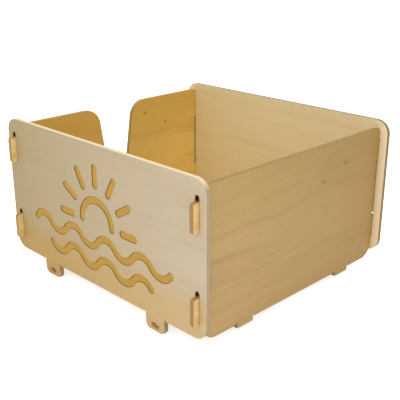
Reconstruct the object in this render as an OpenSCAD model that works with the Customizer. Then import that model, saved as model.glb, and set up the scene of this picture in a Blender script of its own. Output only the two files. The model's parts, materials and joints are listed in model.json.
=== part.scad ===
// Open toy crate in thin plywood. The front and back walls have slots near
// their ends, and the hook tabs of the two side walls drop into those slots
// and hold the four walls together without tools. Lugs under the front and
// back walls and short tenons under the side walls fit slots in a deck. A loose
// floor lies on two ledges. Origin: on the ground plane under the lugs, at the
// centre of the footprint. X runs along the front wall, -Y is the front and
// +Z is up. Millimetres.

/* [Overall size] */
// Length of the front and back walls
box_w = 384; // [360:1:600]
// Distance between the outer faces of the front and back walls
box_d = 350; // [330:1:600]
// Height of the front and back walls, without their lugs
wall_h = 190; // [185:1:260]
// Thickness of the plywood
ply = 6; // [5:0.1:8]

/* [Front and back walls] */
// Radius of the wall corners
wall_corner_r = 19; // [10:1:30]
// How far the walls run past the outer faces of the side walls
overhang = 11.5; // [10:0.5:14]
// Extra width of the corner slots over the plywood
slot_play = 0.3; // [0.3:0.1:1.5]
// Length of each corner slot
slot_len = 39.2; // [36:0.2:44]
// Height of the upper slot's middle above the wall's bottom edge
upper_slot_z = 151.8; // [140:0.1:156]
// Height of the lower slot's middle above the wall's bottom edge
lower_slot_z = 39.8; // [36:0.1:60]

/* [Lugs] */
// Distance from the middle of the wall to the middle of a lug
lug_x = 106; // [60:1:130]
// Width of a lug
lug_w = 33; // [24:1:50]
// How far a lug stands below the wall's bottom edge
lug_h = 20; // [19:1:30]
// Length of the key slot in a lug
key_slot_len = 13; // [9:0.5:20]
// Width of the key slot in a lug
key_slot_w = 6.5; // [4:0.1:7]
// Distance from the wall's bottom edge down to the key slot's middle
key_slot_drop = 12.5; // [10:0.1:12.5]

/* [Side walls] */
// Height of the side walls
side_h = 187; // [180:1:190]
// How far the bottom edge of a seated side wall is below the wall's
side_sink = 6.5; // [3:0.1:8]
// How far a side wall lifts to unhook
lift = 5; // [4:0.1:6]
// How far the tabs stand out of the front and back walls
tab_out = 8.5; // [6:0.1:12]
// Radius of a side wall's lower corners
side_corner_r = 20; // [6:1:24]
// Distance from the middle of a side wall to the middle of a tenon
tenon_y = 98; // [60:1:120]
// Length of a tenon
tenon_w = 28.5; // [20:0.5:40]
// How far a tenon stands below the side wall
tenon_h = 5.5; // [3:0.1:8]

/* [Hand notch] */
// Radius of the corners at the mouth of the left side wall's notch
notch_mouth_r = 25.5; // [17:1.7:30.6]
// Length of the notch's straight, leaning sides
notch_side_len = 76.5; // [59.5:8.5:85]
// Radius of the rounded bottom of the notch
notch_bottom_r = 19.125; // [17:0.425:21.25]

/* [Floor] */
// Gap between the loose floor and the walls
floor_gap = 1.5; // [0.8:0.1:3]
// Height of the ledges that carry the floor
ledge_h = 9; // [8:0.5:12]
// Diameter of the finger holes in the floor
finger_hole_d = 24; // [18:1:30]

/* [Engraving] */
// Width of the engraved lines
stroke_w = 10; // [5:0.5:12]
// Depth of the engraved lines
stroke_depth = 0.8; // [0.4:0.1:1.5]

/* [Hidden] */
$fn = 48;

// overshoot of cutting shapes, and the running gaps of the loose joints
cut = 1;
touch_gap = 0.05;
lip_gap = 0.2;
end_gap = 0.3;

// front and back walls
wall_z0 = lug_h;
slot_w = ply + slot_play;
slot_r = slot_w / 2;
side_out_x = box_w / 2 - overhang;
side_mid_x = side_out_x - ply / 2;
side_in_x = side_out_x - ply;
lug_corner_r = 7.5;
relief_r = 1.6;
slot_mids = [lower_slot_z, upper_slot_z];

// a flat plywood edge stops this far short of a slot's round end, rounded up
// to a hundredth of a millimetre
end_rise = ceil(100 * (slot_r - sqrt(slot_r * slot_r - ply * ply / 4))) / 100;
tab_low = slot_len / 2 - end_rise - touch_gap;
tab_high = slot_len / 2 - end_rise - lift - 2 * touch_gap;
lip_low = tab_low + lift - 2 * touch_gap;

// side walls
side_z0 = wall_z0 - side_sink;
side_z1 = side_z0 + side_h;
side_end_y = box_d / 2 - ply - end_gap;
side_top_r = 7;
edge_recess = 2.2;
tab_corner_r = 3;
tenon_corner_r = 1.5;

// hand notch: its sides lean by the small angle of a 13-84-85 triangle, so that
// its straight lines and arcs meet at round numbers
lean_sin = 13 / 85;
lean_cos = 84 / 85;

// floor, ledges and screws
floor_z = wall_z0 + ledge_h;
floor_corner_r = 3;
ledge_end_gap = 12;
ledge_len = 2 * (side_in_x - ledge_end_gap);
ledge_in_y = box_d / 2 - ply;
finger_hole_inset = 40;
finger_hole_x = side_in_x - finger_hole_inset;

// each outer screw sits this share of the ledge away from the middle one, and
// this much of the wall is left in front of a screw's point
screw_count = 3;
screw_spread = 0.42;
screw_pitch = ledge_len * screw_spread;
point_cover = 1.5;
screw_shank_r = 1.5;
screw_head_r = 2.8;
screw_head_h = 1.7;
screw_len = 2 * ply - point_cover;
screw_z = wall_z0 + ledge_h / 2;
drive_r = 1.1;
drive_depth = 1.2;

// engraving: a half sun with rays over two lines of waves
sun_rise = 88;
sun_z = wall_z0 + sun_rise;
sun_r = 30;
ray_in = 50;
ray_out = 72;
ray_step = 30;
wave_r = 21;
// half the width of one arc, and the drop from its ends to its centre, from a
// 3-4-5 triangle
wave_run = wave_r * 4 / 5;
wave_drop = wave_r * 3 / 5;
wave_rows = [
    // height, number of arcs, 0 where the first arc is a crest or 1 for a trough
    [wall_z0 + 62, 8, 0],
    [wall_z0 + 33, 6, 1]
];

// ---------- plane shapes ----------

module rounded_rect(x0, y0, x1, y1, r) {
    translate([x0 + r, y0])
        square([x1 - x0 - 2 * r, y1 - y0]);
    translate([x0, y0 + r])
        square([x1 - x0, y1 - y0 - 2 * r]);
    for (x = [x0 + r, x1 - r])
        for (y = [y0 + r, y1 - r])
            translate([x, y])
                circle(r = r);
}

// a slot with round ends, of total length len along the first axis
module obround(len, r) {
    translate([-(len / 2 - r), -r])
        square([len - 2 * r, 2 * r]);
    for (s = [-1, 1])
        translate([s * (len / 2 - r), 0])
            circle(r = r);
}

// a tongue that hangs below y = 0, with rounded lower corners
module tongue(w, h, r) {
    translate([-w / 2, -h + r])
        square([w, h - r + cut]);
    translate([-w / 2 + r, -h])
        square([w - 2 * r, r + cut]);
    for (s = [-1, 1])
        translate([s * (w / 2 - r), -h + r])
            circle(r = r);
}

// round cutter marks beside a tongue, so that its shoulders seat flat
module shoulder_reliefs(w) {
    for (s = [-1, 1])
        translate([s * (w / 2 + relief_r), 0])
            circle(r = relief_r);
}

// ---------- front and back walls ----------

module wall_outline() {
    difference() {
        union() {
            rounded_rect(-box_w / 2, 0, box_w / 2, wall_h, wall_corner_r);
            for (s = [-1, 1])
                translate([s * lug_x, 0])
                    tongue(lug_w, lug_h, lug_corner_r);
        }
        for (s = [-1, 1])
            translate([s * lug_x, 0])
                shoulder_reliefs(lug_w);
        for (s = [-1, 1])
            translate([s * lug_x, -key_slot_drop])
                obround(key_slot_len, key_slot_w / 2);
        for (s = [-1, 1])
            for (z = slot_mids)
                translate([s * side_mid_x, z])
                    rotate(90)
                        obround(slot_len, slot_r);
    }
}

// a wall plate standing in the XZ plane, with its outer face at y = -box_d / 2
module wall_plate() {
    difference() {
        translate([0, -box_d / 2 + ply, wall_z0])
            rotate([90, 0, 0])
                linear_extrude(height = ply)
                    wall_outline();
        at_screws()
            screw_shape();
    }
}

module back_panel() {
    color([0.86, 0.74, 0.54])
        rotate([0, 0, 180])
            wall_plate();
}

// ---------- engraving ----------

module ring(r) {
    difference() {
        circle(r = r + stroke_w / 2);
        circle(r = r - stroke_w / 2);
    }
}

// one arc of a wave: the part of a ring between the lines to its neighbours
module wave_arc() {
    reach = 2;
    top = 2 * wave_r;
    intersection() {
        ring(wave_r);
        polygon([
            [0, 0],
            [reach * wave_run, reach * wave_drop],
            [reach * wave_run, top],
            [-reach * wave_run, top],
            [-reach * wave_run, reach * wave_drop]
        ]);
    }
}

// crests and troughs that meet with a shared tangent, centred on x = 0
module wave(arcs, first) {
    for (i = [0 : arcs - 1])
        translate([(2 * i + 1 - arcs) * wave_run, 0])
            mirror([0, (i + first) % 2])
                translate([0, -wave_drop])
                    wave_arc();
    for (s = [-1, 1])
        translate([s * arcs * wave_run, 0])
            circle(d = stroke_w);
}

module half_sun() {
    difference() {
        ring(sun_r);
        translate([-2 * sun_r, -2 * sun_r])
            square([4 * sun_r, 2 * sun_r]);
    }
    for (s = [-1, 1])
        translate([s * sun_r, 0])
            circle(d = stroke_w);
    for (a = [0 : ray_step : 180])
        rotate(a)
            translate([(ray_in + ray_out) / 2, 0])
                obround(ray_out - ray_in + stroke_w, stroke_w / 2);
}

module engraving() {
    translate([0, -box_d / 2 + stroke_depth, 0])
        rotate([90, 0, 0])
            linear_extrude(height = stroke_depth + cut) {
                translate([0, sun_z])
                    half_sun();
                for (row = wave_rows)
                    translate([0, row[0]])
                        wave(row[1], row[2]);
            }
}

module front_panel() {
    color([0.87, 0.79, 0.65])
        difference() {
            wall_plate();
            engraving();
        }
}

// ---------- side walls ----------

// one hook tab at the +Y end: its neck fills the slot in the wall, and its lip
// hangs over the outer face, below the slot's lower end
module hook_tab() {
    neck_y0 = side_end_y - 2 * edge_recess;
    lip_y0 = box_d / 2 + lip_gap;
    tab_y1 = box_d / 2 + tab_out;
    translate([neck_y0, -tab_low])
        square([lip_y0 + tab_corner_r - neck_y0, tab_low + tab_high]);
    translate([lip_y0, -lip_low])
        square([tab_y1 - lip_y0 - tab_corner_r, lip_low + tab_high]);
    translate([lip_y0, -lip_low + tab_corner_r])
        square([tab_y1 - lip_y0, lip_low + tab_high - 2 * tab_corner_r]);
    for (z = [-lip_low + tab_corner_r, tab_high - tab_corner_r])
        translate([tab_y1 - tab_corner_r, z])
            circle(r = tab_corner_r);
}

module side_body_outline() {
    low_r = side_corner_r;
    top_r = side_top_r;
    translate([-side_end_y, side_z0 + low_r])
        square([2 * side_end_y, side_h - low_r - top_r]);
    translate([-side_end_y + low_r, side_z0])
        square([2 * (side_end_y - low_r), low_r]);
    translate([-side_end_y + top_r, side_z1 - top_r])
        square([2 * (side_end_y - top_r), top_r]);
    for (s = [-1, 1]) {
        translate([s * (side_end_y - low_r), side_z0 + low_r])
            circle(r = low_r);
        translate([s * (side_end_y - top_r), side_z1 - top_r])
            circle(r = top_r);
    }
}

// the end edges are cut back a little between the upper and the lower tab
module end_recess() {
    z0 = wall_z0 + lower_slot_z + tab_high;
    z1 = wall_z0 + upper_slot_z - tab_low;
    for (s = [-1, 1])
        translate([s * side_end_y - edge_recess, z0])
            square([2 * edge_recess, z1 - z0]);
}

module side_outline() {
    difference() {
        union() {
            side_body_outline();
            for (s = [-1, 1])
                translate([s * tenon_y, side_z0])
                    tongue(tenon_w, tenon_h, tenon_corner_r);
        }
        for (s = [-1, 1])
            translate([s * tenon_y, side_z0])
                shoulder_reliefs(tenon_w);
        end_recess();
    }
    for (s = [0, 1])
        for (z = slot_mids)
            mirror([s, 0])
                translate([0, wall_z0 + z])
                    hook_tab();
}

// the notch cut from the top edge: a rounded bottom, straight leaning sides
// and a mouth whose corners are rounded off
module notch_outline() {
    mouth_z = side_z1 - notch_mouth_r;
    high_z = mouth_z + notch_mouth_r * lean_sin;
    low_z = high_z - notch_side_len * lean_cos;
    low_y = notch_bottom_r * lean_cos;
    high_y = low_y + notch_side_len * lean_sin;
    mouth_y = high_y + notch_mouth_r * lean_cos;
    translate([0, low_z + notch_bottom_r * lean_sin])
        circle(r = notch_bottom_r);
    polygon([
        [-low_y, low_z],
        [low_y, low_z],
        [high_y, high_z],
        [high_y, side_z1 + cut],
        [-high_y, side_z1 + cut],
        [-high_y, high_z]
    ]);
    for (s = [0, 1])
        mirror([s, 0])
            difference() {
                translate([high_y, high_z])
                    square([mouth_y - high_y, side_z1 + cut - high_z]);
                translate([mouth_y, mouth_z])
                    circle(r = notch_mouth_r);
            }
}

// stands a YZ outline up, with its inner face at x = x0
module side_plate(x0) {
    translate([x0, 0, 0])
        rotate([90, 0, 90])
            linear_extrude(height = ply)
                children();
}

module right_side_panel() {
    color([0.78, 0.64, 0.42])
        side_plate(side_in_x)
            side_outline();
}

module left_side_panel() {
    color([0.80, 0.63, 0.34])
        side_plate(-side_out_x)
            difference() {
                side_outline();
                notch_outline();
            }
}

// ---------- floor, ledges and screws ----------

module floor_panel() {
    half_x = side_in_x - floor_gap;
    half_y = box_d / 2 - ply - floor_gap;
    color([0.84, 0.73, 0.53])
        translate([0, 0, floor_z])
            linear_extrude(height = ply)
                difference() {
                    rounded_rect(-half_x, -half_y, half_x, half_y, floor_corner_r);
                    for (s = [-1, 1])
                        translate([s * finger_hole_x, 0])
                            circle(d = finger_hole_d);
                }
}

// places its children at each screw of the front ledge, with +Z out of the head
module at_screws() {
    for (i = [0 : screw_count - 1])
        translate([(i - (screw_count - 1) / 2) * screw_pitch, -ledge_in_y + ply, screw_z])
            rotate([-90, 0, 0])
                children();
}

// a countersunk screw without its drive: the ledge and the wall are bored to
// this same shape, which stops short of the wall's outer face
module screw_shape() {
    translate([0, 0, -screw_head_h])
        cylinder(r1 = screw_shank_r, r2 = screw_head_r, h = screw_head_h);
    translate([0, 0, -screw_len])
        cylinder(r = screw_shank_r, h = screw_len - screw_head_h);
}

module screw() {
    difference() {
        screw_shape();
        translate([0, 0, -drive_depth])
            cylinder(r = drive_r, h = drive_depth + cut, $fn = 6);
    }
}

module ledge() {
    difference() {
        translate([-ledge_len / 2, -ledge_in_y, wall_z0])
            cube([ledge_len, ply, ledge_h]);
        at_screws()
            screw_shape();
    }
}

module front_floor_ledge() {
    color([0.82, 0.70, 0.50])
        ledge();
}

module back_floor_ledge() {
    color([0.82, 0.70, 0.50])
        rotate([0, 0, 180])
            ledge();
}

module front_ledge_screws() {
    color([0.75, 0.75, 0.77])
        at_screws()
            screw();
}

module back_ledge_screws() {
    color([0.75, 0.75, 0.77])
        rotate([0, 0, 180])
            at_screws()
                screw();
}

front_panel();
back_panel();
left_side_panel();
right_side_panel();
floor_panel();
front_floor_ledge();
back_floor_ledge();
front_ledge_screws();
back_ledge_screws();
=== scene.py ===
"""Looks of an open toy crate in birch plywood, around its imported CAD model, in a pale studio.

The CAD nodes keep their shape and place. They get eased edges and procedural materials: rotary-cut
birch on the faces, glued plies on the cut edges, ochre paint in the engraving and zinc on the screws.
"""

import json
import math

import bpy
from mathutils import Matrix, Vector


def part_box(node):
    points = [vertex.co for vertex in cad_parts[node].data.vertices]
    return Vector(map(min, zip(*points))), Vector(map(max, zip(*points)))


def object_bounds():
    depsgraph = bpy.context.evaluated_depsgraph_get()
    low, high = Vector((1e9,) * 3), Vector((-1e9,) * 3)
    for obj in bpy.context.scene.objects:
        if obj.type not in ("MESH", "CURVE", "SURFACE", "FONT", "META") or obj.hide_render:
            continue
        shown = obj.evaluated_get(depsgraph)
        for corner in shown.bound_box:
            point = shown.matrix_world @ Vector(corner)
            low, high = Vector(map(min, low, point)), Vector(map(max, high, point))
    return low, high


MM = 0.001
X_AXIS, Y_AXIS, Z_AXIS = 0, 1, 2

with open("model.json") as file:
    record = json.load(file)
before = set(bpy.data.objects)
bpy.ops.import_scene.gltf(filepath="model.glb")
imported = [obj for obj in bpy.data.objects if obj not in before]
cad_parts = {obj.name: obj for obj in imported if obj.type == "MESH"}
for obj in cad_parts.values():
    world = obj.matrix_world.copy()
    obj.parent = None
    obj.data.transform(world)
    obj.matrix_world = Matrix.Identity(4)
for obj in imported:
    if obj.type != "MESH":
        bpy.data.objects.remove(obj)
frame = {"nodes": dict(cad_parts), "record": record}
cad_low, cad_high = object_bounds()
centre = (cad_low + cad_high) / 2

# ---------- measures ----------

front_low, front_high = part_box("front_panel")
right_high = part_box("right_side_panel")[1]
floor_low, floor_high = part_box("floor_panel")
ledge_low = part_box("front_floor_ledge")[0]

ply = front_high.y - front_low.y
wall_low_z = ledge_low.z
wall_high_z = front_high.z
wall_height = wall_high_z - wall_low_z
wall_half_x = front_high.x
side_mid_x = right_high.x - ply / 2
wall_mid_y = front_high.y - ply / 2
wall_out_y = -front_low.y
floor_mid_z = (floor_low.z + floor_high.z) / 2
lug_mount = next(m for m in frame["record"]["mounts"] if m["name"] == "front_lug_slots")
lug_mid_x = lug_mount["dims"]["spacing_x_mm"] * MM / 2
key_mid_z = lug_mount["pos_m"][Z_AXIS]
key_half_length = lug_mount["dims"]["slot_length_mm"] * MM / 2
key_radius = lug_mount["dims"]["hole_r_mm"] * MM

# The corner slots, which the frame doesn't list, as they are cut in the CAD: their width over the
# plywood, their length, and the heights of their middles above the wall's foot.
slot_play = 0.3 * MM
slot_length = 39.2 * MM
slot_rises = (39.8 * MM, 151.8 * MM)
slot_radius = (ply + slot_play) / 2
slot_half_length = slot_length / 2
slot_mids = [wall_low_z + rise for rise in slot_rises]


def srgb(red, green, blue):
    """A colour from its 0 to 255 screen values, as the linear numbers that shaders use."""
    def linear(value):
        share = value / 255
        if share <= 0.04045:
            return share / 12.92
        return ((share + 0.055) / 1.055) ** 2.4
    return (linear(red), linear(green), linear(blue), 1.0)


# ---------- a small language for shader nodes ----------


class Graph:
    """The node tree of one material. Its methods add a node and return the node's output."""

    def __init__(self, name):
        self.material = bpy.data.materials.new(name)
        self.material.use_nodes = True
        self.tree = self.material.node_tree
        self.tree.nodes.clear()

    def node(self, kind, inputs, **settings):
        made = self.tree.nodes.new(kind)
        for key, value in settings.items():
            setattr(made, key, value)
        for key, value in inputs.items():
            if isinstance(value, bpy.types.NodeSocket):
                self.tree.links.new(value, made.inputs[key])
            else:
                made.inputs[key].default_value = value
        return made

    def math(self, operation, *values):
        return self.node("ShaderNodeMath", dict(enumerate(values)), operation=operation).outputs[0]

    def level(self, value, low, high):
        """0 at low and 1 at high, with a soft start and end."""
        inputs = {"Value": value, "From Min": low, "From Max": high}
        return self.node("ShaderNodeMapRange", inputs, interpolation_type="SMOOTHSTEP").outputs[0]

    def band(self, value, middle, flat, slope):
        """1 up to flat from the middle, falling to 0 over the slope beyond it."""
        away = self.math("ABSOLUTE", self.math("SUBTRACT", value, middle))
        return self.level(away, flat + slope, flat)

    def vector(self, x, y, z):
        return self.node("ShaderNodeCombineXYZ", {0: x, 1: y, 2: z}).outputs[0]

    def scaled(self, vector, scale, shift=(0, 0, 0)):
        inputs = {0: vector, 1: scale, 2: shift}
        return self.node("ShaderNodeVectorMath", inputs, operation="MULTIPLY_ADD").outputs[0]

    def noise(self, vector, detail=2.0, roughness=0.5):
        inputs = {"Vector": vector, "Scale": 1.0, "Detail": detail, "Roughness": roughness}
        return self.node("ShaderNodeTexNoise", inputs).outputs[0]

    def mix(self, factor, a, b):
        inputs = {"Factor": factor, "A": a, "B": b}
        made = self.tree.nodes.new("ShaderNodeMix")
        made.data_type = "RGBA"
        for key, value in inputs.items():
            socket = next(s for s in made.inputs if s.name == key and s.enabled)
            if isinstance(value, bpy.types.NodeSocket):
                self.tree.links.new(value, socket)
            else:
                socket.default_value = value
        return next(s for s in made.outputs if s.enabled)

    def blend(self, factor, a, b):
        """The number a where factor is 0, and b where it is 1."""
        return self.math("ADD", a, self.math("MULTIPLY", factor, self.math("SUBTRACT", b, a)))

    def total(self, *values):
        result = values[0]
        for value in values[1:]:
            result = self.math("ADD", result, value)
        return result

    def finish(self, colour, roughness, height, depth, **inputs):
        """The surface itself. depth is the bump's full height in metres."""
        bump = self.node("ShaderNodeBump", {"Height": height, "Distance": depth, "Strength": 1.0})
        shader_inputs = {"Base Color": colour, "Roughness": roughness, "Normal": bump.outputs[0]}
        for key, value in inputs.items():
            shader_inputs[key] = value
        shader = self.node("ShaderNodeBsdfPrincipled", shader_inputs)
        self.node("ShaderNodeOutputMaterial", {"Surface": shader.outputs[0]})
        return self.material


# ---------- birch plywood ----------


class Face:
    """The look of one face of a sheet: its colours at the grain's two ends, partly its own tone and
    partly painted light falling off along it, its streaks and its knots.

    streak is the colour of the streaks and streaks is how strong they are. low_painted_light and
    high_painted_light hold
    the colours of painted light along the lower and the upper edge, at the same two ends, or None:
    painted golden light along the foot, and painted light and shade along the top. Each knot is a share
    of the way along the face, a share of the way across it and a radius in metres.
    """

    def __init__(self, start, end, streak, seed, streaks, low_painted_light=None, high_painted_light=None, knots=()):
        self.start = srgb(*start)
        self.end = srgb(*end)
        self.streak = srgb(*streak)
        self.seed = seed
        self.streaks = streaks
        self.low_painted_light = [srgb(*colour) for colour in low_painted_light] if low_painted_light else None
        self.high_painted_light = [srgb(*colour) for colour in high_painted_light] if high_painted_light else None
        self.knots = knots


class Sheet:
    """How a sheet lies in the frame: the axes along the grain, across it and through it.

    Its cut edges have light and dark plies, and painted light and shade where they look up.
    """

    def __init__(self, along, across, through, middle, edge_light, edge_dark, top_light_and_shade):
        self.along = along
        self.across = across
        self.through = through
        self.middle = middle
        self.edge_light = srgb(*edge_light)
        self.edge_dark = srgb(*edge_dark)
        self.top_light_and_shade = srgb(*top_light_and_shade)


def sheet_point(g, sheet):
    """Where a point lies on a sheet: along the grain, across it, and off the sheet's middle.

    It also gives how square the surface is to the sheet, 1 on a face and 0 on a cut edge, and how far
    the surface looks up.
    """
    place = g.node("ShaderNodeTexCoord", {})
    position = g.node("ShaderNodeSeparateXYZ", {0: place.outputs["Object"]})
    normal = g.node("ShaderNodeSeparateXYZ", {0: place.outputs["Normal"]})
    along = position.outputs[sheet.along]
    across = position.outputs[sheet.across]
    offset = position.outputs[sheet.through]
    depth = g.math("SUBTRACT", offset, sheet.middle)
    square = g.math("ABSOLUTE", normal.outputs[sheet.through])
    rise = normal.outputs[Z_AXIS]
    return along, across, depth, square, rise


def face_grain(g, along, across, face):
    """Colour and height of a face: growth rings, streaks, fibres, short pores and pin knots."""
    grain_sway = 50 * MM
    rings_per_metre = 45.0
    ring_waves = 7.0
    seed = face.seed
    flat = g.vector(along, across, 0.0)
    swell = g.noise(g.scaled(flat, (3.5, 11.0, 1.0), (seed, 2.0, 0.0)), detail=2.0)
    sway = g.math("MULTIPLY", swell, grain_sway)
    curved = g.vector(along, g.math("ADD", across, sway), 0.0)

    # the colour runs from start to end along the wall: partly the veneer's own tone, partly painted
    # light falling off along the wall
    ends = g.math("MULTIPLY_ADD", along, 0.5 / wall_half_x, 0.5)
    colour = painted_light_bands(g, across, swell, ends, g.mix(ends, face.start, face.end), face)
    patches = g.noise(g.scaled(flat, (6.0, 14.0, 1.0), (seed, 0.0, 3.0)), detail=3.0)
    colour = tint(g, colour, face.streak, g.level(patches, 0.45, 0.75), 0.3 * face.streaks)

    count = g.math("MULTIPLY", across, rings_per_metre)
    rings = g.total(count, g.math("MULTIPLY", swell, ring_waves), seed)
    latewood = g.math("POWER", g.math("PINGPONG", rings, 1.0), 4.0)
    fade = g.noise(g.scaled(curved, (5.0, 16.0, 1.0), (seed, 9.0, 0.0)), detail=2.0)
    latewood = g.math("MULTIPLY", latewood, g.level(fade, 0.45, 0.7))
    colour = tint(g, colour, face.streak, latewood, 0.4 * face.streaks)

    dashes = g.noise(g.scaled(curved, (9.0, 170.0, 1.0), (seed, 4.0, seed)), detail=2.0)
    colour = tint(g, colour, face.streak, g.level(dashes, 0.62, 0.8), 0.9 * face.streaks)

    figure = g.noise(g.scaled(curved, (3.0, 75.0, 1.0), (seed, seed, 0.0)), detail=4.0, roughness=0.55)
    colour = tint(g, colour, face.streak, g.level(figure, 0.45, 0.8), 0.8 * face.streaks)

    fibres = g.noise(g.scaled(curved, (45.0, 1500.0, 1.0), (seed, 0.0, 0.0)), detail=3.0, roughness=0.6)
    colour = tint(g, colour, face.streak, g.level(fibres, 0.42, 0.75), 0.18)
    pores = g.noise(g.scaled(curved, (210.0, 2600.0, 1.0), (0.0, seed, 5.0)), detail=1.0)
    pore = g.level(pores, 0.64, 0.76)
    colour = tint(g, colour, face.streak, pore, 0.35)

    for knot in face.knots:
        colour = pin_knot(g, along, across, colour, face, *knot)

    height = g.math("SUBTRACT", g.math("MULTIPLY", fibres, 0.6), g.math("MULTIPLY", pore, 0.5))
    return colour, height


def painted_light_bands(g, across, swell, ends, colour, face):
    """The bands of painted light along the lower and the upper edge of a face, with a wavy border.

    Each band fades in between two shares of the wall's height.
    """
    border_wave = 60 * MM
    low_light_band = (0.38, 0.04)
    high_light_band = (0.4, 1.0)
    wave = g.math("MULTIPLY", g.math("SUBTRACT", swell, 0.5), border_wave)
    place = g.math("ADD", across, wave)
    share = g.math("DIVIDE", g.math("SUBTRACT", place, wall_low_z), wall_height)
    if face.low_painted_light:
        colour = g.mix(g.level(share, *low_light_band), colour, g.mix(ends, *face.low_painted_light))
    if face.high_painted_light:
        colour = g.mix(g.level(share, *high_light_band), colour, g.mix(ends, *face.high_painted_light))
    return colour


def tint(g, colour, other, mask, strength):
    """Moves a colour towards another one where the mask is 1, by the share called strength."""
    return g.mix(g.math("MULTIPLY", mask, strength), colour, other)


def pin_knot(g, along, across, colour, face, along_share, across_share, radius):
    """A small dark knot with a soft halo drawn out along the grain."""
    squeeze = 0.6
    heartwood = srgb(118, 82, 42)
    aside = g.math("SUBTRACT", along, (2 * along_share - 1) * wall_half_x)
    above = g.math("SUBTRACT", across, wall_low_z + across_share * wall_height)
    squeezed = g.math("MULTIPLY", aside, squeeze)
    away = g.math("SQRT", g.total(g.math("POWER", squeezed, 2.0), g.math("POWER", above, 2.0)))
    grain = g.noise(g.scaled(g.vector(along, across, 0.0), (300.0, 900.0, 1.0)), detail=2.0)
    away = g.math("ADD", away, g.math("MULTIPLY", g.math("SUBTRACT", grain, 0.5), 2.0 * radius))
    colour = tint(g, colour, face.streak, g.level(away, 4.0 * radius, radius), 0.6)
    return tint(g, colour, heartwood, g.level(away, 1.4 * radius, 0.2 * radius), 0.45)


def cut_edge(g, along, across, depth, rise, sheet):
    """Colour and height of a cut edge: plies, the outer ones dark, with thin lines of glue between."""
    plies = 5
    ply_wobble = 0.05
    toasted = srgb(112, 80, 50)
    flat = g.vector(along, across, depth)
    wobble = g.noise(g.scaled(flat, (70.0, 70.0, 0.0)), detail=2.0)
    share = g.math("ADD", g.math("DIVIDE", depth, ply), 0.5)
    share = g.math("ADD", share, g.math("MULTIPLY", g.math("SUBTRACT", wobble, 0.5), ply_wobble))
    layer = g.math("MULTIPLY", share, plies)
    within = g.math("FRACT", layer)
    light_ply = g.math("PINGPONG", g.math("FLOOR", layer), 1.0)
    from_ply_middle = g.math("ABSOLUTE", g.math("SUBTRACT", within, 0.5))
    glue = g.level(from_ply_middle, 0.44, 0.495)
    cells = g.noise(g.scaled(flat, (900.0, 900.0, 2600.0)), detail=3.0, roughness=0.65)
    tone = g.noise(g.scaled(flat, (30.0, 30.0, 300.0)), detail=2.0)

    uneven = g.math("MULTIPLY", g.level(tone, 0.3, 0.7), 0.4)
    light = g.mix(uneven, sheet.edge_light, sheet.edge_dark)
    dark = g.mix(uneven, sheet.edge_dark, sheet.edge_light)
    colour = g.mix(light_ply, dark, light)
    # painted light and shade on the cut edges that look up: each kind of edge gets its own top tone
    colour = tint(g, colour, sheet.top_light_and_shade, g.level(rise, 0.3, 0.9), 0.65)
    colour = tint(g, colour, toasted, glue, 0.45)
    colour = tint(g, colour, toasted, g.level(cells, 0.5, 0.8), 0.3)
    height = g.math("SUBTRACT", cells, g.math("MULTIPLY", glue, 0.4))
    return colour, height


def plywood(name, sheet, low_face, high_face, inward=0, overhang_light=0.0, engraved=False, tabbed=False):
    """A sheet of plywood. low_face looks down the sheet's through axis, and high_face looks up it.

    inward is 0 for a sheet without slots. For a slotted wall it is 1 where the inner face looks up the
    axis and -1 where it looks down, and overhang is the strength of the painted light on its right
    end's faces.
    """
    bump_depth = 0.08 * MM
    worn_and_shaded = srgb(122, 94, 62)
    pale = srgb(255, 231, 190)
    g = Graph(name)
    along, across, depth, square, rise = sheet_point(g, sheet)
    low_colour, low_height = face_grain(g, along, across, low_face)
    high_colour, high_height = face_grain(g, along, across, high_face)
    high_side = g.math("GREATER_THAN", depth, 0.0)
    face_colour = g.mix(high_side, low_colour, high_colour)
    face_height = g.blend(high_side, low_height, high_height)
    edge_colour, edge_height = cut_edge(g, along, across, depth, rise, sheet)
    if tabbed:
        face_colour, edge_colour = tab_ends(g, along, across, face_colour, edge_colour)

    is_face = g.level(square, 0.55, 0.85)
    colour = g.mix(is_face, edge_colour, face_colour)
    # darker rims on the eased edges, patchy with noise: partly edge wear, partly painted shade dimming
    # the bevels' highlight
    rim = g.band(square, 0.72, 0.1, 0.2)
    wear = g.noise(g.scaled(g.vector(along, across, depth), (60.0, 60.0, 60.0)), detail=3.0)
    rim = g.math("MULTIPLY", rim, g.level(wear, 0.25, 0.55))
    colour = tint(g, colour, worn_and_shaded, rim, 0.6)
    if inward:
        # painted light, pale and warm, on the faces of the right end, beyond the side wall's outer face
        right_end = g.level(along, side_mid_x + ply / 2, wall_half_x - MM)
        colour = tint(g, colour, pale, g.math("MULTIPLY", right_end, is_face), overhang_light)
        inner_side = g.math("GREATER_THAN", g.math("MULTIPLY", depth, inward), 0.0)
        colour = joint_shade(g, along, across, inner_side, colour)
        colour = slot_tone_and_shade(g, along, across, is_face, colour)

    height = g.blend(is_face, edge_height, face_height)
    roughness = g.math("ADD", g.math("MULTIPLY", height, 0.12), 0.5)
    if engraved:
        colour = engraving_paint(g, along, across, depth, square, colour)
    return g.finish(colour, roughness, height, bump_depth, **{"Specular IOR Level": 0.35})


def tab_ends(g, along, across, face_colour, edge_colour):
    """Painted light, warm and bright, on the tabs' faces, and browned ends on the tabs, which stand out
    in front of the walls' outer faces.
    """
    outside = g.level(g.math("ABSOLUTE", along), wall_out_y - MM, wall_out_y)
    cloud = g.noise(g.scaled(g.vector(along, across, 0.0), (90.0, 60.0, 1.0)), detail=3.0)
    painted_peach_light = g.mix(g.level(cloud, 0.35, 0.65), srgb(224, 185, 119), srgb(238, 205, 142))
    face_colour = g.mix(outside, face_colour, painted_peach_light)
    edge_colour = tint(g, edge_colour, srgb(176, 134, 78), outside, 0.7)
    return face_colour, edge_colour


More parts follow.
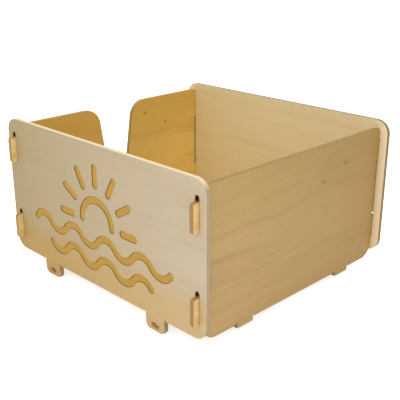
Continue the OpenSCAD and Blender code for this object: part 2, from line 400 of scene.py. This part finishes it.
def round_slot(g, across, aside, middle, half_length, radius, upright):
    """Distance from the outline of a slot with round ends, negative inside it."""
    above = g.math("ABSOLUTE", g.math("SUBTRACT", across, middle))
    straight = half_length - radius
    if upright:
        above = g.math("MAXIMUM", g.math("SUBTRACT", above, straight), 0.0)
    else:
        aside = g.math("MAXIMUM", g.math("SUBTRACT", g.math("ABSOLUTE", aside), straight), 0.0)
    away = g.math("SQRT", g.total(g.math("POWER", above, 2.0), g.math("POWER", aside, 2.0)))
    return g.math("SUBTRACT", away, radius)


def joint_shade(g, along, across, inner_side, colour):
    """Brown on a wall's inner face where a side wall's end stands close to it, between two slots."""
    brown = srgb(170, 128, 62)
    from_side = g.math("SUBTRACT", g.math("ABSOLUTE", along), side_mid_x)
    between = (slot_mids[1] - slot_mids[0]) / 2
    joint = g.band(from_side, 0.0, ply / 2, 0.3 * MM)
    joint = g.math("MULTIPLY", joint, g.band(across, sum(slot_mids) / 2, between, MM))
    return tint(g, colour, brown, g.math("MULTIPLY", joint, inner_side), 0.7)


def slot_tone_and_shade(g, along, across, is_face, colour):
    """Colours the inside of every slot, the corner slots dark brown as painted shade, and browns a thin
    line of painted shade around every slot on the faces.
    """
    key_burn = srgb(206, 164, 112)
    corner_slot_shade = srgb(92, 62, 32)
    halo_shade = srgb(118, 84, 48)
    side_way = g.math("ABSOLUTE", along)
    from_side = g.math("SUBTRACT", side_way, side_mid_x)
    from_lug = g.math("SUBTRACT", side_way, lug_mid_x)
    key = round_slot(g, across, from_lug, key_mid_z, key_half_length, key_radius, upright=False)
    low, high = [
        round_slot(g, across, from_side, middle, slot_half_length, slot_radius, upright=True)
        for middle in slot_mids
    ]
    corner = g.math("MINIMUM", low, high)
    cut = g.math("SUBTRACT", 1.0, is_face)
    # key_burn is the key slots' own tone. corner_slot_shade is painted shade inside the corner slots,
    # and halo_shade a thin line of painted shade on the faces; burnt takes each slot's colour in turn
    for away, burnt in ((key, key_burn), (corner, corner_slot_shade)):
        halo = g.math("MULTIPLY", g.level(away, 1.1 * MM, 0.1 * MM), is_face)
        colour = tint(g, colour, halo_shade, halo, 0.55)
        inside = g.math("MULTIPLY", g.level(away, 0.6 * MM, 0.3 * MM), cut)
        colour = g.mix(inside, colour, burnt)
    return colour


def engraving_paint(g, along, across, depth, square, colour):
    """Ochre on the floor of the grooves and burnt brown on their sides.

    The grooves are told from the rest by how deep they lie under the outer face. Margins along the
    wall's edges keep out the slots and the rounded corners, which are cut through that depth too.
    """
    groove_depth = 0.8 * MM
    edge_margin = 12 * MM
    end_margin = 40 * MM
    burnt = srgb(112, 76, 26)
    into = g.math("ADD", depth, ply / 2)
    below = g.level(into, 0.15 * MM, 0.3 * MM)
    above = g.level(into, groove_depth + 0.4 * MM, groove_depth + 0.2 * MM)
    clear_of_ends = g.math("LESS_THAN", g.math("ABSOLUTE", along), wall_half_x - end_margin)
    clear_of_foot = g.math("GREATER_THAN", across, wall_low_z + edge_margin)
    clear_of_top = g.math("LESS_THAN", across, wall_high_z - edge_margin)
    inside = below
    for mask in (above, clear_of_ends, clear_of_foot, clear_of_top):
        inside = g.math("MULTIPLY", inside, mask)
    flat = g.vector(along, across, 0.0)
    patches = g.noise(g.scaled(flat, (28.0, 28.0, 1.0)), detail=3.0)
    fine = g.noise(g.scaled(flat, (420.0, 900.0, 1.0)), detail=2.0)
    paint = g.mix(g.level(patches, 0.35, 0.65), srgb(188, 150, 46), srgb(198, 147, 50))
    paint = tint(g, paint, srgb(150, 108, 30), g.level(fine, 0.4, 0.8), 0.4)
    corner = g.node("ShaderNodeAmbientOcclusion", {"Distance": 1.6 * MM}, only_local=True, samples=8)
    rim = g.level(corner.outputs["AO"], 0.97, 0.72)
    paint = tint(g, paint, burnt, rim, 0.75)
    groove = g.mix(g.level(square, 0.6, 0.95), burnt, paint)
    return g.mix(inside, colour, groove)


# ---------- screws ----------


def zinc():
    """Zinc-plated steel with turned marks and a faint yellow film."""
    g = Graph("zinc_plate")
    place = g.node("ShaderNodeTexCoord", {})
    fine = g.noise(g.scaled(place.outputs["Object"], (2600.0, 2600.0, 2600.0)), detail=3.0)
    film = g.noise(g.scaled(place.outputs["Object"], (420.0, 420.0, 420.0)), detail=2.0)
    colour = g.mix(g.level(film, 0.3, 0.7), srgb(198, 200, 204), srgb(190, 182, 158))
    roughness = g.math("ADD", g.math("MULTIPLY", fine, 0.25), 0.22)
    return g.finish(colour, roughness, fine, 0.02 * MM, Metallic=1.0)


# ---------- assigning ----------


def ease_edges(node, width):
    """Rounds the node's sharp edges. The mesh itself keeps its CAD vertices.

    The weighted normals keep the large faces flat in the light.
    """
    weld = node.modifiers.new("weld", "WELD")
    weld.merge_threshold = 0.002 * MM
    flatten = node.modifiers.new("flatten", "DECIMATE")
    flatten.decimate_type = "DISSOLVE"
    flatten.angle_limit = math.radians(0.3)
    bevel = node.modifiers.new("ease", "BEVEL")
    bevel.width = width
    bevel.segments = 3
    bevel.limit_method = "ANGLE"
    bevel.angle_limit = math.radians(40)
    flat_faces = node.modifiers.new("flat_faces", "WEIGHTED_NORMAL")
    flat_faces.mode = "FACE_AREA"
    flat_faces.weight = 100
    for polygon in node.data.polygons:
        polygon.use_smooth = True


def dress(name, material, edge_width):
    """Gives a node its material and its eased edges."""
    node = frame["nodes"][name]
    node.data.materials.clear()
    node.data.materials.append(material)
    ease_edges(node, edge_width)


def ash_face(seed):
    """The greyish outer face of the front and back walls, with painted yellow light along its foot."""
    return Face(
        (177, 157, 113), (206, 188, 160), (160, 136, 98), seed, streaks=0.2,
        low_painted_light=((187, 149, 75), (212, 182, 132)),
    )


back_face = Face((232, 213, 161), (236, 217, 176), (196, 168, 116), seed=23.0, streaks=0.25)
tan_face = Face((214, 190, 142), (214, 190, 142), (176, 146, 98), seed=29.0, streaks=0.3)
# the high_painted_light colours of these two faces are painted light and shade along the top of the
# walls
wavy_face = Face(
    (200, 166, 109), (177, 140, 83), (140, 104, 54), seed=37.0, streaks=0.3,
    high_painted_light=((196, 163, 101), (167, 134, 73)),
    knots=((0.74, 0.78, 1.2 * MM), (0.62, 0.70, 1.0 * MM)),
)
gold_face = Face(
    (204, 164, 84), (246, 212, 118), (162, 118, 44), seed=51.0, streaks=0.3,
    high_painted_light=((208, 168, 80), (220, 181, 90)),
    knots=((0.76, 0.72, 0.8 * MM), (0.65, 0.83, 0.8 * MM)),
)

# for each kind of cut edge: its light plies, its dark plies and the tone where it looks up, which is
# painted light on the pale, olive and gold edges and painted shade on the tan one
pale_edge = ((200, 174, 134), (160, 132, 98), (246, 228, 188))
olive_edge = ((150, 128, 86), (118, 98, 62), (158, 138, 96))
tan_edge = ((164, 134, 80), (130, 102, 58), (152, 122, 46))
gold_edge = ((186, 148, 72), (140, 106, 48), (196, 154, 70))

front_sheet = Sheet(X_AXIS, Z_AXIS, Y_AXIS, wall_mid_y, *pale_edge)
back_sheet = Sheet(X_AXIS, Z_AXIS, Y_AXIS, -wall_mid_y, *olive_edge)
right_sheet = Sheet(Y_AXIS, Z_AXIS, X_AXIS, side_mid_x, *tan_edge)
left_sheet = Sheet(Y_AXIS, Z_AXIS, X_AXIS, -side_mid_x, *gold_edge)
floor_sheet = Sheet(X_AXIS, Y_AXIS, Z_AXIS, floor_mid_z, *pale_edge)

# widths of the eased edges: finer where walls meet in a joint, and finest on the screws
wood_edge = 0.35 * MM
joint_edge = 0.2 * MM
screw_edge = 0.12 * MM

front_wood = plywood("birch_front", front_sheet, ash_face(11.0), tan_face, inward=1, engraved=True)
back_wood = plywood("birch_back", back_sheet, back_face, ash_face(83.0), inward=-1, overhang_light=0.9)
right_wood = plywood("birch_right", right_sheet, gold_face, wavy_face, tabbed=True)
left_wood = plywood("birch_left", left_sheet, wavy_face, gold_face, tabbed=True)
dress("front_panel", front_wood, wood_edge)
dress("back_panel", back_wood, joint_edge)
dress("right_side_panel", right_wood, joint_edge)
dress("left_side_panel", left_wood, joint_edge)
dress("floor_panel", plywood("birch_floor", floor_sheet, tan_face, tan_face), wood_edge)
dress("front_floor_ledge", plywood("birch_front_ledge", front_sheet, tan_face, tan_face), wood_edge)
dress("back_floor_ledge", plywood("birch_back_ledge", back_sheet, tan_face, tan_face), wood_edge)
screw_metal = zinc()
dress("front_ledge_screws", screw_metal, screw_edge)
dress("back_ledge_screws", screw_metal, screw_edge)


# ---------- studio ----------


def studio_floor():
    """A pale, matt floor with a faint cloudiness. It glows for the camera, so that it looks white."""
    side = 16.0
    own_glow = 0.1
    camera_glow = 0.6
    bpy.ops.mesh.primitive_plane_add(size=side, location=(0, 0, 0))
    floor = bpy.context.object
    floor.name = "studio_floor"
    g = Graph("studio_paper")
    place = g.node("ShaderNodeTexCoord", {})
    cloud = g.noise(g.scaled(place.outputs["Object"], (1.5, 1.5, 1.5)), detail=2.0)
    colour = g.mix(cloud, srgb(246, 246, 246), srgb(250, 250, 249))
    seen = g.node("ShaderNodeLightPath", {}).outputs["Is Camera Ray"]
    glow = g.math("MULTIPLY_ADD", seen, camera_glow, own_glow)
    paper = {"Emission Color": (1.0, 1.0, 1.0, 1.0), "Emission Strength": glow}
    material = g.finish(colour, 0.9, cloud, 0.0, **paper)
    floor.data.materials.append(material)


def studio_world():
    """An even white light from all around, brighter to the camera than to the object."""
    light_strength = 0.68
    seen_strength = 1.0
    world = bpy.data.worlds.new("studio_world")
    world.use_nodes = True
    tree = world.node_tree
    background = tree.nodes["Background"]
    background.inputs["Color"].default_value = (1.0, 1.0, 1.0, 1.0)
    path = tree.nodes.new("ShaderNodeLightPath")
    strength = tree.nodes.new("ShaderNodeMapRange")
    strength.inputs["To Min"].default_value = light_strength
    strength.inputs["To Max"].default_value = seen_strength
    tree.links.new(path.outputs["Is Camera Ray"], strength.inputs["Value"])
    tree.links.new(strength.outputs[0], background.inputs["Strength"])
    bpy.context.scene.world = world


def facing(data, target, azimuth, elevation, distance):
    """A light or a camera that looks at the target from this far away.

    The azimuth is in degrees from the front wall's side, turning to the right.
    """
    turn = math.radians(azimuth)
    rise = math.radians(elevation)
    away = Vector((math.sin(turn) * math.cos(rise), -math.cos(turn) * math.cos(rise), math.sin(rise)))
    holder = bpy.data.objects.new(data.name, data)
    holder.location = target + away * distance
    holder.rotation_mode = "QUATERNION"
    holder.rotation_quaternion = away.to_track_quat("Z", "Y")
    bpy.context.scene.collection.objects.link(holder)
    return holder


def soft_light(name, azimuth, elevation, distance, size, power):
    """A square, white panel light that faces the middle of the object."""
    lamp = bpy.data.lights.new(name, "AREA")
    lamp.shape = "SQUARE"
    lamp.size = size
    lamp.energy = power
    facing(lamp, centre, azimuth, elevation, distance)


def photo_camera():
    """The camera at the photograph's viewing angle, aimed a little right of and below the middle."""
    focal_length = 65.07
    film_width = 36.0
    aim = centre + Vector((5.8, 0.2, -10.5)) * MM
    camera = bpy.data.cameras.new("photo_camera")
    camera.lens = focal_length
    camera.sensor_width = film_width
    bpy.context.scene.camera = facing(camera, aim, azimuth=45.11, elevation=20.5, distance=1.0136)


studio_floor()
studio_world()
soft_light("key_light", azimuth=38.0, elevation=52.0, distance=1.5, size=1.8, power=8.0)
soft_light("top_light", azimuth=20.0, elevation=78.0, distance=1.6, size=2.2, power=9.0)
soft_light("back_fill", azimuth=218.0, elevation=30.0, distance=1.6, size=1.8, power=6.0)
photo_camera()
bpy.context.scene.view_settings.view_transform = "Standard"
